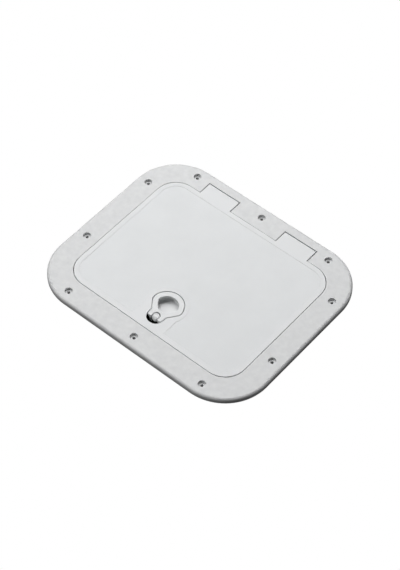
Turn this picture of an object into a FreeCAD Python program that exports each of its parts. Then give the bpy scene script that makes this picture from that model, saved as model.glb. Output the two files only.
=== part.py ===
import FreeCAD, Part
import math
import os

# Flush deck access hatch: a flange frame with a hinged lid and a lift latch.
# Millimetres, +Z up. The origin is the centre of the four corner screws, on the flange underside.
# +X runs along the hatch, +Y points to the hinges, and the latch is at the front, towards -Y.

# Flange frame
flange_width = 375.0
flange_depth = 313.0
flange_corner = 73.0
flange_height = 7.7
flange_skin = 3.0
flange_rim_wall = 3.0
flange_edge_round = 4.4
opening_edge_round = 0.5
stiffener_thickness = 2.0
stiffener_pitch = 30.0
corner_stiffener_angle = 22.5

# Well that the lid lies in, its landing ledge and the collar that goes through the deck
well_width = 300.4
well_depth = 237.0
well_corner = 33.5
well_wall = 3.0
ledge_width = 9.0
ledge_thickness = 2.5
collar_wall = 3.0
collar_drop = 22.0
collar_edge_round = 1.0

# Deck screw holes
corner_screw_inset = 66.5
row_screw_inset = 17.5
side_screw_inset = 18.5
side_screw_from_back = 72.0
side_screw_from_front = 108.0
screw_hole_diameter = 4.5
screw_head_bore = 11.4
screw_head_sink = 4.0
screw_boss_diameter = 14.4

# Lid
lid_gap = 0.5
lid_corner_ease = 1.4
lid_proud = 0.3
lid_thickness = 4.0
lid_border = 7.5
panel_drop = 0.3
lid_edge_round = 0.5
skirt_gap = 2.3
skirt_thickness = 2.2
skirt_drop = 8.0
lid_rib_thickness = 2.0
lid_rib_drop = 5.0
lid_rib_first_row = 34.9
lid_rib_row_pitch = 55.0
lid_rib_row_count = 3
lid_rib_columns = (-95.0, -45.0, 45.0, 95.0)

# Lid gasket, in a groove under the border
gasket_inset = 3.0
gasket_width = 5.0
gasket_groove = 0.8
gasket_thickness = 2.0
gasket_round = 0.6

# Hinges
hinge_spacing = 140.7
lug_width = 55.3
lug_side_gap = 1.5
lug_back_gap = 1.3
lug_back_round = 1.5
lug_root = 1.5
notch_reach = 22.9
notch_floor = 1.2
barrel_radius = 3.0
hinge_pin_diameter = 3.0
hinge_pin_hold = 6.0
hinge_pin_end_gap = 0.3
pin_clearance = 0.05
saddle_wall = 1.5
saddle_mouth = 2.6

# Latch handle outline, in plan, with its pin at the middle of the round neck
latch_setback = 25.45
head_reach = 23.15
head_radius = 24.7
shoulder_radius = 9.0
neck_radius = 12.95
neck_corner_reach = 5.65
neck_blend = 4.0
taper_angle = 36.7
handle_gap = 1.0

# Latch handle
handle_thickness = 3.7
handle_ring_width = 8.4
handle_opening_reach = 10.75
opening_shoulder = 3.0
handle_edge_round = 0.8
handle_tail_reach = 4.45
tail_corner_round = 2.5
knuckle_slot_gap = 0.5
knuckle_slot_extra = 0.9
cheek_width = 4.4
cheek_gap = 0.3
cheek_radius = 4.0
arm_width = 4.0
arm_inset = 0.3
arm_thickness = 4.0
arm_length = 15.5
bolt_travel = 6.6

# Handle pin
handle_pin_diameter = 2.5
handle_pin_boss_radius = 3.0
handle_pin_hold = 3.0

# Latch housing under the lid
housing_wall = 2.0
finger_undercut = 4.0
bowl_floor_z = -2.5
cavity_floor_z = -7.0
bowl_end_reach = 10.55
bowl_round = 5.0
neck_cavity_gap = 0.3
neck_cavity_reach = 11.35
neck_cavity_corner = 3.0
partition = 2.0
rim_reach = 5.5
rim_thickness = 2.5
rim_front_reach = 13.95
knuckle_radius = 5.3
knuckle_edge_round = 1.8
front_rib_width = 2.6
front_rib_depth = 1.6
front_rib_top = 2.0
pad_margin = 6.3
pad_half_width = 28.0
housing_screw_offsets = ((33.5, 31.05), (24.5, -4.95))
housing_screw_diameter = 3.0
housing_screw_length = 8.0
housing_boss_radius = 3.5
housing_boss_drop = 5.0
ear_thickness = 2.5
ear_radius = 4.5
screw_hole_ease = 0.1

# Bolt, its channel and its cover
bolt_half_width = 10.7
bolt_height = 6.2
bolt_gap = 0.3
bolt_throw = 5.1
bolt_nose_flat = 1.5
bolt_nose_slope = 5.8
bolt_tail_reach = 13.55
window_front_reach = 4.95
bolt_web_half_width = 6.1
spring_slot_half_width = 3.4
spring_slot_reach = 5.05
channel_wall = 3.0
channel_front_reach = 11.95
spring_wall_reach = 21.55
spring_wall_thickness = 2.0
spring_peg_radius = 1.3
spring_peg_length = 3.0
cover_thickness = 2.0
cover_front_reach = 9.95
cover_screw_offsets = ((15.6, -4.95), (15.6, 18.05))
cover_screw_diameter = 2.4
cover_screw_length = 8.0
cover_post_radius = 3.2

# Bolt spring
spring_radius = 2.2
spring_wire = 0.6
spring_turns = 7.0

# Catch slot in the front of the collar
catch_side_gap = 0.7
catch_top_gap = 0.4
catch_bottom_gap = 0.8

# Pan head screws, in shares of the thread diameter
screw_head_rise = 0.6
screw_head_round = 0.36
cross_slot_width = 0.24
cross_slot_depth = 0.3

# Levels worked out from the sizes above
top_z = flange_height + lid_proud
corner_screw_x = flange_width / 2 - corner_screw_inset
row_screw_y = flange_depth / 2 - row_screw_inset
side_screw_x = flange_width / 2 - side_screw_inset
side_screw_back_y = flange_depth / 2 - side_screw_from_back
side_screw_front_y = side_screw_from_front - flange_depth / 2
lid_under_z = top_z - lid_thickness
handle_under_z = top_z - handle_thickness
pin_y = well_depth / 2 + notch_reach - lug_back_gap - barrel_radius
pin_z = top_z - barrel_radius
notch_half = lug_width / 2 + lug_side_gap
neck_y = latch_setback - well_depth / 2
head_y = neck_y + head_reach
neck_corner_y = neck_y + neck_corner_reach
handle_opening_end_y = neck_y + handle_opening_reach
handle_tail_y = neck_y - handle_tail_reach
bowl_end_y = neck_y + bowl_end_reach
neck_cavity_front_y = neck_y - neck_cavity_reach
rim_front_y = neck_y - rim_front_reach
bolt_nose_y = ledge_width - bolt_throw - well_depth / 2
bolt_nose_foot_y = bolt_nose_y + bolt_nose_slope
bolt_tail_y = neck_y + bolt_tail_reach
window_front_y = neck_y - window_front_reach
spring_slot_end_y = neck_y + spring_slot_reach
channel_front_y = neck_y - channel_front_reach
spring_wall_y = neck_y + spring_wall_reach
cover_front_y = neck_y - cover_front_reach
lid_rib_rows = [head_y + lid_rib_first_row + i * lid_rib_row_pitch for i in range(lid_rib_row_count)]
handle_pin_z = top_z - knuckle_radius
housing_under_z = cavity_floor_z - housing_wall
bolt_top_z = housing_under_z - bolt_gap
bolt_under_z = bolt_top_z - bolt_height
cover_top_z = bolt_under_z - bolt_gap
cover_under_z = cover_top_z - cover_thickness
ear_top_z = lid_under_z - housing_boss_drop
collar_under_z = -collar_drop
channel_half = bolt_half_width + bolt_gap
lift_angle = math.degrees(math.asin(bolt_travel / arm_length))
hinge_sides = {"left": -1, "right": 1}
quarter_signs = ((1, 1), (-1, 1), (-1, -1), (1, -1))
quarter_turn = 90.0
half_turn = 2 * quarter_turn
level_tolerance = 1e-4
far = 600.0


def vec(x, y, z):
    return FreeCAD.Vector(x, y, z)


def box(x0, x1, y0, y1, z0, z1):
    """Box between two corners."""
    return Part.makeBox(x1 - x0, y1 - y0, z1 - z0, vec(x0, y0, z0))


def rod(radius, x0, x1, y, z):
    """Cylinder along X."""
    return Part.makeCylinder(radius, x1 - x0, vec(x0, y, z), vec(1, 0, 0))


def post(radius, x, y, z0, z1):
    """Upright cylinder."""
    return Part.makeCylinder(radius, z1 - z0, vec(x, y, z0))


def arc(centre, radius, start, end):
    """Arc in plan, from one angle to another in degrees."""
    points = []
    for angle in (start, (start + end) / 2, end):
        a = math.radians(angle)
        points.append(vec(centre[0] + radius * math.cos(a), centre[1] + radius * math.sin(a), 0))
    return Part.Arc(*points).toShape()


def joined_face(edges):
    """Face inside a chain of edges, with straight lines where two of them don't meet."""
    chain = []
    for edge, following in zip(edges, edges[1:] + edges[:1]):
        chain.append(edge)
        end = edge.valueAt(edge.LastParameter)
        start = following.valueAt(following.FirstParameter)
        if end.distanceToPoint(start) > 1e-6:
            chain.append(Part.makeLine(end, start))
    return Part.Face(Part.Wire(chain))


def prism(face, z0, z1):
    """Upright solid of a plan face."""
    lifted = face.translated(vec(0, 0, z0))
    return lifted.extrude(vec(0, 0, z1 - z0))


def rounded_plan(width, depth, radius):
    """Rounded rectangle in plan, centred on the origin."""
    x = width / 2 - radius
    y = depth / 2 - radius
    corners = []
    for quarter, (sx, sy) in enumerate(quarter_signs):
        start = quarter * quarter_turn
        corners.append(arc((sx * x, sy * y), radius, start, start + quarter_turn))
    return joined_face(corners)


def flange_plan(grow=0.0):
    return rounded_plan(flange_width + 2 * grow, flange_depth + 2 * grow, flange_corner + grow)


def well_plan(grow=0.0):
    return rounded_plan(well_width + 2 * grow, well_depth + 2 * grow, well_corner + grow)


def lid_plan():
    """The lid's outline in the well, with corners eased a little more than the well's."""
    return rounded_plan(well_width - 2 * lid_gap, well_depth - 2 * lid_gap, well_corner - lid_gap + lid_corner_ease)


def well_ring(outer, inner, z0, z1):
    """Ring that follows the well, between two offsets from its wall."""
    return prism(well_plan(outer), z0, z1).cut(prism(well_plan(inner), z0, z1))


def flat_edges(shape, z, width, depth):
    """Edges that lie at one height inside a centred rectangle."""
    found = []
    for edge in shape.Edges:
        b = edge.BoundBox
        level = abs(b.ZMin - z) < level_tolerance and abs(b.ZMax - z) < level_tolerance
        inside = max(abs(b.XMin), abs(b.XMax)) < width / 2 and max(abs(b.YMin), abs(b.YMax)) < depth / 2
        if level and inside:
            found.append(edge)
    return found


def taper_distance():
    """Distance of the handle's tapered side from the centre of its head."""
    t = math.radians(taper_angle)
    return neck_radius * math.cos(t) + (head_y - neck_corner_y) * math.sin(t)


def shoulder_place(radius, shoulder, distance):
    """Turn and centre of the small arc between the head and its tapered side."""
    turn = math.degrees(math.acos((distance - shoulder) / (radius - shoulder))) - taper_angle
    a = math.radians(turn)
    reach = radius - shoulder
    return turn, (reach * math.cos(a), head_y + reach * math.sin(a))


def mirrored(centre):
    return (-centre[0], centre[1])


def bulb_plan(grow=0.0):
    """Outline of the latch handle: round head, tapered sides and round neck."""
    t = math.radians(taper_angle)
    radius = head_radius + grow
    shoulder = shoulder_radius + grow
    neck = neck_radius + grow
    blend = neck_blend - grow
    distance = taper_distance() + grow
    turn, right = shoulder_place(radius, shoulder, distance)
    drop = (distance + blend - (neck + blend) * math.cos(t)) / math.sin(t)
    blend_centre = (neck + blend, head_y - drop)
    return joined_face([
        arc((0, head_y), radius, turn, half_turn - turn),
        arc(mirrored(right), shoulder, half_turn - turn, half_turn + taper_angle),
        arc(mirrored(blend_centre), blend, taper_angle, 0),
        arc((0, neck_y), neck, half_turn, 2 * half_turn),
        arc(blend_centre, blend, half_turn, half_turn - taper_angle),
        arc(right, shoulder, -taper_angle, turn),
    ])


def drop_plan(grow, end_y):
    """Outline of the finger opening: the head drawn inwards, with a round end."""
    s = math.sin(math.radians(taper_angle))
    radius = head_radius - handle_ring_width + grow
    shoulder = opening_shoulder + grow
    distance = taper_distance() - handle_ring_width + grow
    turn, right = shoulder_place(radius, shoulder, distance)
    end_radius = (distance - (head_y - end_y) * s) / (1 - s)
    end_centre = (0, end_y + end_radius)
    return joined_face([
        arc((0, head_y), radius, turn, half_turn - turn),
        arc(mirrored(right), shoulder, half_turn - turn, half_turn + taper_angle),
        arc(end_centre, end_radius, half_turn + taper_angle, 2 * half_turn - taper_angle),
        arc(right, shoulder, -taper_angle, turn),
    ])


def deck_screw_points():
    """Centres of the ten deck screws."""
    rows = [(x, s * row_screw_y) for s in (-1, 1) for x in (-corner_screw_x, 0.0, corner_screw_x)]
    sides = [(s * side_screw_x, y) for s in (-1, 1) for y in (side_screw_front_y, side_screw_back_y)]
    return rows + sides


def stiffeners():
    """Straight and fanned ribs under the flange, before they are trimmed to it."""
    half = stiffener_thickness / 2
    low, high = 0.0, flange_height - flange_skin
    ribs = []
    count_x = int((well_width / 2 - well_corner) // stiffener_pitch)
    for i in range(-count_x, count_x + 1):
        x = i * stiffener_pitch
        ribs.append(box(x - half, x + half, -far, far, low, high))
    count_y = int((well_depth / 2 - well_corner) // stiffener_pitch)
    for i in range(-count_y, count_y + 1):
        y = i * stiffener_pitch
        ribs.append(box(-far, far, y - half, y + half, low, high))
    centre_x = flange_width / 2 - flange_corner
    centre_y = flange_depth / 2 - flange_corner
    fan_count = int(quarter_turn / corner_stiffener_angle) - 1
    for quarter, (sx, sy) in enumerate(quarter_signs):
        for step in range(1, fan_count + 1):
            rib = box(0, far, -half, half, low, high)
            turn = quarter * quarter_turn + step * corner_stiffener_angle
            rib.rotate(vec(0, 0, 0), vec(0, 0, 1), turn)
            ribs.append(rib.translated(vec(sx * centre_x, sy * centre_y, 0)))
    return ribs


def hinge_block(side):
    """Solid block under the flange that holds one hinge pin."""
    x = side * hinge_spacing / 2
    half = notch_half + hinge_pin_hold + saddle_wall
    y0 = well_depth / 2
    return box(x - half, x + half, y0, y0 + notch_reach + well_wall, 0, flange_height - flange_skin)


def hinge_notch(side):
    """Room for one lid lug, with the two saddles that its pin snaps into from below."""
    x = side * hinge_spacing / 2
    hold = notch_half + hinge_pin_hold
    radius = hinge_pin_diameter / 2 + pin_clearance
    room = box(x - notch_half, x + notch_half, 0, well_depth / 2 + notch_reach, notch_floor, far)
    room = room.cut(prism(well_plan(-lid_gap), 0, far))
    cuts = [room, rod(radius, x - hold, x + hold, pin_y, pin_z)]
    for end in (-1, 1):
        inner, outer = sorted((x + end * notch_half, x + end * hold))
        cuts.append(box(inner, outer, pin_y - saddle_mouth / 2, pin_y + saddle_mouth / 2, -1, pin_z))
    return cuts


def catch_slot():
    """Slot in the front of the collar that the bolt enters."""
    half = bolt_half_width + catch_side_gap
    front = -well_depth / 2
    return box(-half, half, front, front + ledge_width + 1,
               bolt_under_z - catch_bottom_gap, bolt_top_z + catch_top_gap)


def flange_frame():
    slab = prism(flange_plan(), 0, flange_height)
    slab = slab.makeFillet(flange_edge_round, flat_edges(slab, flange_height, far, far))
    hollow = prism(flange_plan(-flange_rim_wall), 0, flange_height - flange_skin)
    hollow = hollow.cut(prism(well_plan(well_wall), 0, flange_height))
    hollow = hollow.cut(stiffeners())
    bosses = [post(screw_boss_diameter / 2, x, y, 0, flange_height) for x, y in deck_screw_points()]
    hollow = hollow.cut(bosses)
    hollow = hollow.cut([hinge_block(side) for side in hinge_sides.values()])
    body = slab.cut(hollow)
    body = body.cut(prism(well_plan(), ledge_thickness, far))
    body = body.cut(prism(well_plan(-ledge_width), -1, far))
    body = body.makeFillet(opening_edge_round,
                           flat_edges(body, flange_height, well_width + 1, well_depth + 1))
    collar = well_ring(collar_wall - ledge_width, -ledge_width, collar_under_z, ledge_thickness)
    collar = collar.makeFillet(collar_edge_round,
                               flat_edges(collar, collar_under_z, well_width, well_depth))
    body = body.fuse(collar)
    cuts = []
    for side in hinge_sides.values():
        cuts += hinge_notch(side)
    for x, y in deck_screw_points():
        cuts.append(post(screw_hole_diameter / 2, x, y, -1, flange_height))
        cuts.append(post(screw_head_bore / 2, x, y, flange_height - screw_head_sink, flange_height + 1))
    cuts.append(catch_slot())
    return body.cut(cuts).removeSplitter()


def hinge_pin(side):
    half = notch_half + hinge_pin_hold - hinge_pin_end_gap
    x = side * hinge_spacing / 2
    return rod(hinge_pin_diameter / 2, x - half, x + half, pin_y, pin_z)


def lid_lug(side):
    """Hinge lug with a round barrel at its pin and a rounded back edge."""
    x = side * hinge_spacing / 2
    root_y = well_depth / 2 - lid_gap - lug_root
    back_y = pin_y + barrel_radius
    rise = lid_under_z - pin_z
    foot = math.sqrt(barrel_radius ** 2 - rise ** 2)
    r = lug_back_round
    s = math.sqrt(0.5)

    def at(y, z):
        return vec(x - lug_width / 2, y, z)

    edges = [
        Part.makeLine(at(root_y, lid_under_z), at(root_y, top_z)),
        Part.makeLine(at(root_y, top_z), at(back_y - r, top_z)),
        Part.Arc(at(back_y - r, top_z), at(back_y - r + r * s, top_z - r + r * s),
                 at(back_y, top_z - r)).toShape(),
        Part.makeLine(at(back_y, top_z - r), at(back_y, pin_z)),
        Part.Arc(at(back_y, pin_z), at(pin_y, pin_z - barrel_radius),
                 at(pin_y - foot, lid_under_z)).toShape(),
        Part.makeLine(at(pin_y - foot, lid_under_z), at(root_y, lid_under_z)),
    ]
    lug = Part.Face(Part.Wire(edges)).extrude(vec(lug_width, 0, 0))
    bore = rod(hinge_pin_diameter / 2 + pin_clearance, x - far / 2, x + far / 2, pin_y, pin_z)
    return lug.cut(bore)


def pad_plan():
    """Smooth raised pad round the latch, joined to the front border."""
    circle = Part.Face(Part.Wire(Part.makeCircle(head_radius + pad_margin, vec(0, head_y, 0))))
    strip = Part.makePlane(2 * pad_half_width, well_depth / 2 + head_y, vec(-pad_half_width, -well_depth / 2, 0))
    return circle, strip


def lid_ribs():
    """Rib grid under the panel, kept clear of the latch."""
    half = lid_rib_thickness / 2
    low = lid_under_z - lid_rib_drop
    reach = well_depth / 2
    ribs = [box(-far, far, y - half, y + half, low, lid_under_z) for y in lid_rib_rows]
    ribs += [box(x - half, x + half, -reach, reach, low, lid_under_z) for x in lid_rib_columns]
    ribs.append(box(-half, half, lid_rib_rows[0], reach, low, lid_under_z))
    inside = prism(well_plan(-ledge_width - skirt_gap - skirt_thickness / 2), low, lid_under_z)
    return [rib.common(inside) for rib in ribs]


def both_sides(offsets):
    """Points on both sides of the latch, from their offsets to the handle's pin."""
    return [(s * x, neck_y + y) for s in (-1, 1) for x, y in offsets]


def hatch_lid():
    plate = prism(lid_plan(), lid_under_z, top_z)
    plate = plate.cut(prism(bulb_plan(handle_gap / 2), 0, top_z + 1))
    plate = plate.makeFillet(lid_edge_round, flat_edges(plate, top_z, far, far))
    recess = prism(well_plan(-lid_gap - lid_border), top_z - panel_drop, top_z + 1)
    for shape in pad_plan():
        recess = recess.cut(prism(shape, 0, top_z + 1))
    plate = plate.cut(recess)
    inset = -gasket_inset
    plate = plate.cut(well_ring(inset, inset - gasket_width, lid_under_z - 1, lid_under_z + gasket_groove))
    skirt_out = -ledge_width - skirt_gap
    skirt = well_ring(skirt_out, skirt_out - skirt_thickness, lid_under_z - skirt_drop, lid_under_z)
    gate = neck_radius + rim_reach + skirt_gap
    skirt = skirt.cut(box(-gate, gate, -well_depth / 2, neck_y, -far, far))
    bosses = [post(housing_boss_radius, x, y, ear_top_z, lid_under_z)
              for x, y in both_sides(housing_screw_offsets)]
    lugs = [lid_lug(side) for side in hinge_sides.values()]
    body = plate.fuse([skirt] + lid_ribs() + bosses + lugs)
    tip_z = ear_top_z - ear_thickness + housing_screw_length
    cuts = [post(housing_screw_diameter / 2, x, y, ear_top_z - 1, tip_z)
            for x, y in both_sides(housing_screw_offsets)]
    cuts.append(prism(bulb_plan(handle_gap / 2), 0, top_z + 1))
    return body.cut(cuts).removeSplitter()


def lid_gasket():
    inset = -gasket_inset
    top = lid_under_z + gasket_groove
    strip = well_ring(inset, inset - gasket_width, top - gasket_thickness, top)
    low_edges = flat_edges(strip, top - gasket_thickness, far, far)
    return strip.makeFillet(gasket_round, low_edges)


def latch_handle():
    plate = prism(bulb_plan(-handle_gap / 2), handle_under_z, top_z)
    plate = plate.cut(box(-far, far, -far, handle_tail_y, -far, far))
    tail = [e for e in plate.Edges
            if abs(e.BoundBox.YMax - handle_tail_y) < level_tolerance
            and e.BoundBox.ZLength > handle_thickness / 2]
    plate = plate.makeFillet(tail_corner_round, tail)
    plate = plate.cut(prism(drop_plan(0.0, handle_opening_end_y), 0, top_z + 1))
    plate = plate.makeFillet(handle_edge_round, flat_edges(plate, top_z, far, far))
    slot = knuckle_radius + knuckle_slot_gap
    slot_y = neck_y + knuckle_slot_extra
    plate = plate.cut([post(slot, 0, slot_y, 0, top_z + 1), box(-slot, slot, -far, slot_y, 0, far)])
    inner = slot + cheek_gap
    pieces = []
    for side in (-1, 1):
        x0, x1 = sorted((side * inner, side * (inner + cheek_width)))
        pieces.append(rod(cheek_radius, x0, x1, neck_y, handle_pin_z))
        pieces.append(box(x0, x1, neck_y - cheek_radius, neck_y + cheek_radius, handle_pin_z, handle_under_z))
        a0, a1 = sorted((side * (inner + arm_inset), side * (inner + arm_inset + arm_width)))
        half = arm_thickness / 2
        tip_z = handle_pin_z - arm_length
        pieces.append(box(a0, a1, neck_y - half, neck_y + half, tip_z, handle_pin_z))
        pieces.append(rod(half, a0, a1, neck_y, tip_z))
    body = plate.fuse(pieces)
    return body.cut(rod(handle_pin_diameter / 2 + pin_clearance, -far, far, neck_y, handle_pin_z)).removeSplitter()


def neck_cavity():
    """Room for the handle's neck, open at the top."""
    half = neck_radius - handle_gap / 2 + neck_cavity_gap
    back_y = bowl_end_y - partition
    depth = back_y - neck_cavity_front_y
    cavity = box(-half, half, neck_cavity_front_y, back_y, cavity_floor_z, lid_under_z + 1)
    corners = [e for e in cavity.Edges
               if e.BoundBox.ZLength > 1 and abs(e.BoundBox.YMax - neck_cavity_front_y) < depth / 2]
    return cavity.makeFillet(neck_cavity_corner, corners)


def finger_bowl(grow, floor_z, round_radius):
    """Rounded bowl under the finger opening."""
    bowl = prism(drop_plan(finger_undercut + grow, bowl_end_y - grow), floor_z, lid_under_z)
    return bowl.makeFillet(round_radius, flat_edges(bowl, floor_z, far, far))


def knuckle():
    """Round post that the handle turns about, its top level at the back and rounded off to the front."""
    shape = post(knuckle_radius, 0, neck_y, cavity_floor_z, top_z)
    shape = shape.makeFillet(knuckle_edge_round, flat_edges(shape, top_z, far, far))
    nose = rod(knuckle_radius, -far, far, neck_y, handle_pin_z)
    keep = box(-far, far, neck_y, far, -far, far).fuse(nose)
    keep = keep.fuse(box(-far, far, -far, neck_y, -far, handle_pin_z))
    return shape.common(keep)


def ear(x, y):
    """Screw ear that reaches out from the housing to its boss under the lid."""
    low = ear_top_z - ear_thickness
    reach = abs(x) - neck_radius
    inner = x - math.copysign(reach, x)
    x0, x1 = sorted((inner, x))
    arm = box(x0, x1, y - ear_radius, y + ear_radius, low, ear_top_z)
    return arm.fuse(post(ear_radius, x, y, low, ear_top_z))


def latch_housing():
    wall = housing_wall
    neck_half = neck_radius - handle_gap / 2 + neck_cavity_gap + wall
    front_y = neck_cavity_front_y - wall
    rim = bulb_plan().makeOffset2D(rim_reach)
    rim = prism(rim, lid_under_z - rim_thickness, lid_under_z)
    rim = rim.cut(box(-far, far, -far, rim_front_y, -far, far))
    body = finger_bowl(wall, bowl_floor_z - wall, bowl_round + wall)
    body = body.fuse([rim, box(-neck_half, neck_half, front_y, bowl_end_y, housing_under_z, lid_under_z)])
    outer = channel_half + channel_wall
    back_y = spring_wall_y + spring_wall_thickness
    root_z = bowl_floor_z - wall / 2
    rails = [box(s * outer if s < 0 else channel_half, -channel_half if s < 0 else outer,
                 channel_front_y, back_y, cover_top_z, root_z) for s in (-1, 1)]
    back = box(-outer, outer, spring_wall_y, back_y, cover_top_z, cavity_floor_z)
    roof = box(-outer, outer, bowl_end_y, back_y, housing_under_z, cavity_floor_z)
    posts = [post(cover_post_radius, x, y, cover_top_z, root_z) for x, y in both_sides(cover_screw_offsets)]
    ears = [ear(x, y) for x, y in both_sides(housing_screw_offsets)]
    boss_end = neck_half - wall + handle_pin_hold
    boss = rod(handle_pin_boss_radius, -boss_end, boss_end, neck_y, handle_pin_z)
    boss = boss.common(box(-far, far, -far, far, -far, lid_under_z))
    body = body.fuse(rails + [back, roof, boss] + posts + ears)
    slot_in = knuckle_radius + knuckle_slot_gap + cheek_gap
    slot_out = slot_in + arm_inset + arm_width + cheek_gap
    cuts = [finger_bowl(0.0, bowl_floor_z, bowl_round), neck_cavity()]
    room = box(-channel_half, channel_half, -far, spring_wall_y, cover_top_z - 1, housing_under_z)
    cuts.append(room)
    sweep = bolt_travel + arm_thickness / 2
    for s in (-1, 1):
        x0, x1 = sorted((s * slot_in, s * slot_out))
        cuts.append(box(x0, x1, neck_y - arm_thickness / 2 - cheek_gap, neck_y + sweep + wall / 2,
                        housing_under_z - 1, cavity_floor_z + 1))
    body = body.cut(cuts)
    rib = box(-front_rib_width / 2, front_rib_width / 2, neck_cavity_front_y,
              neck_cavity_front_y + front_rib_depth, cavity_floor_z, front_rib_top)
    peg_z = (bolt_top_z + bolt_under_z) / 2
    peg = Part.makeCylinder(spring_peg_radius, spring_peg_length,
                            vec(0, spring_wall_y - spring_peg_length, peg_z), vec(0, 1, 0))
    body = body.fuse([knuckle(), rib, peg])
    pin_hole = rod(handle_pin_diameter / 2, -boss_end, boss_end, neck_y, handle_pin_z)
    holes = [pin_hole]
    for x, y in both_sides(housing_screw_offsets):
        holes.append(post(housing_screw_diameter / 2 + screw_hole_ease, x, y, -far, ear_top_z))
    for x, y in both_sides(cover_screw_offsets):
        holes.append(post(cover_screw_diameter / 2, x, y, -far, cover_under_z + cover_screw_length))
    return body.cut(holes).removeSplitter()


def handle_pin():
    half = neck_radius - handle_gap / 2 + neck_cavity_gap + handle_pin_hold
    return rod(handle_pin_diameter / 2, -half, half, neck_y, handle_pin_z)


def latch_bolt():
    """Spring bolt with a sloped nose, two arm windows and a spring slot."""
    x0 = -bolt_half_width
    outline = [
        vec(x0, bolt_nose_y, bolt_top_z),
        vec(x0, bolt_nose_y, bolt_top_z - bolt_nose_flat),
        vec(x0, bolt_nose_foot_y, bolt_under_z),
        vec(x0, bolt_tail_y, bolt_under_z),
        vec(x0, bolt_tail_y, bolt_top_z),
    ]
    side = Part.Face(Part.makePolygon(outline + outline[:1]))
    body = side.extrude(vec(2 * bolt_half_width, 0, 0))
    wall_y = neck_y + arm_thickness / 2 + bolt_gap
    cuts = [box(-spring_slot_half_width, spring_slot_half_width, spring_slot_end_y, 0, -far, far)]
    for s in (-1, 1):
        w0, w1 = sorted((s * bolt_web_half_width, s * far))
        cuts.append(box(w0, w1, window_front_y, wall_y, -far, far))
    return body.cut(cuts)


def bolt_spring():
    """Compression spring between the bolt and the back wall of its channel."""
    clear = spring_wire / 2
    start_y = spring_slot_end_y + clear
    length = spring_wall_y - clear - start_y
    helix = Part.makeHelix(length / spring_turns, length, spring_radius)
    profile = Part.Wire(Part.makeCircle(spring_wire / 2, vec(spring_radius, 0, 0), vec(0, 1, 0)))
    spring = Part.Wire(helix).makePipeShell([profile], True, True)
    spring.rotate(vec(0, 0, 0), vec(1, 0, 0), -90)
    return spring.translated(vec(0, start_y, (bolt_top_z + bolt_under_z) / 2))


def bolt_cover():
    outer = channel_half + channel_wall
    back = spring_wall_y + spring_wall_thickness
    plate = box(-outer, outer, cover_front_y, back, cover_under_z, cover_top_z)
    tabs = [post(cover_post_radius, x, y, cover_under_z, cover_top_z) for x, y in both_sides(cover_screw_offsets)]
    plate = plate.fuse(tabs)
    holes = [post(cover_screw_diameter / 2 + screw_hole_ease, x, y, -far, far)
             for x, y in both_sides(cover_screw_offsets)]
    return plate.cut(holes).removeSplitter()


def pan_screw(x, y, seat_z, diameter, length):
    """Pan head screw driven upwards, its head under the seat."""
    under = seat_z - screw_head_rise * diameter
    head = post(diameter, x, y, under, seat_z)
    head = head.makeFillet(screw_head_round * diameter, flat_edges(head, under, far, far))
    shank = post(diameter / 2, x, y, seat_z, seat_z + length)
    screw = head.fuse(shank).removeSplitter()
    blade = diameter * cross_slot_width / 2
    reach = diameter / 2
    deep = under + cross_slot_depth * diameter
    screw = screw.cut(box(x - reach, x + reach, y - blade, y + blade, under - 1, deep))
    return screw.cut(box(x - blade, x + blade, y - reach, y + reach, under - 1, deep))


def all_parts():
    parts = {"flange_frame": flange_frame(), "hatch_lid": hatch_lid(), "lid_gasket": lid_gasket()}
    for name, side in hinge_sides.items():
        parts["hinge_pin_" + name] = hinge_pin(side)
    parts["latch_handle"] = latch_handle()
    parts["latch_housing"] = latch_housing()
    parts["handle_pin"] = handle_pin()
    parts["latch_bolt"] = latch_bolt()
    parts["bolt_spring"] = bolt_spring()
    parts["bolt_cover"] = bolt_cover()
    seat = ear_top_z - ear_thickness
    for number, (x, y) in enumerate(both_sides(housing_screw_offsets), 1):
        parts["housing_screw_%d" % number] = pan_screw(x, y, seat, housing_screw_diameter, housing_screw_length)
    for number, (x, y) in enumerate(both_sides(cover_screw_offsets), 1):
        parts["cover_screw_%d" % number] = pan_screw(x, y, cover_under_z, cover_screw_diameter, cover_screw_length)
    return parts


os.makedirs("parts", exist_ok=True)
for name, shape in all_parts().items():
    if shape.ShapeType != "Solid":
        shape = shape.Solids[0] if len(shape.Solids) == 1 else shape
    shape.exportStep("parts/" + name + ".step")
    box_text = shape.BoundBox
    print("%-18s %d solid %s valid %s volume %.0f  z %.2f to %.2f" % (
        name, len(shape.Solids), shape.ShapeType, shape.isValid(), shape.Volume, box_text.ZMin, box_text.ZMax))
print("handle lift %.2f degrees, ratio %.6f m per radian" % (lift_angle, bolt_travel / math.radians(lift_angle) / 1000))
print("hinge axis y %.3f z %.3f, handle axis y %.3f z %.3f" % (pin_y, pin_z, neck_y, handle_pin_z))
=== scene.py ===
"""Flush deck access hatch: its finishes, fine fittings and studio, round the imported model."""

import logging
import math
from dataclasses import dataclass, field
from enum import Enum

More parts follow.
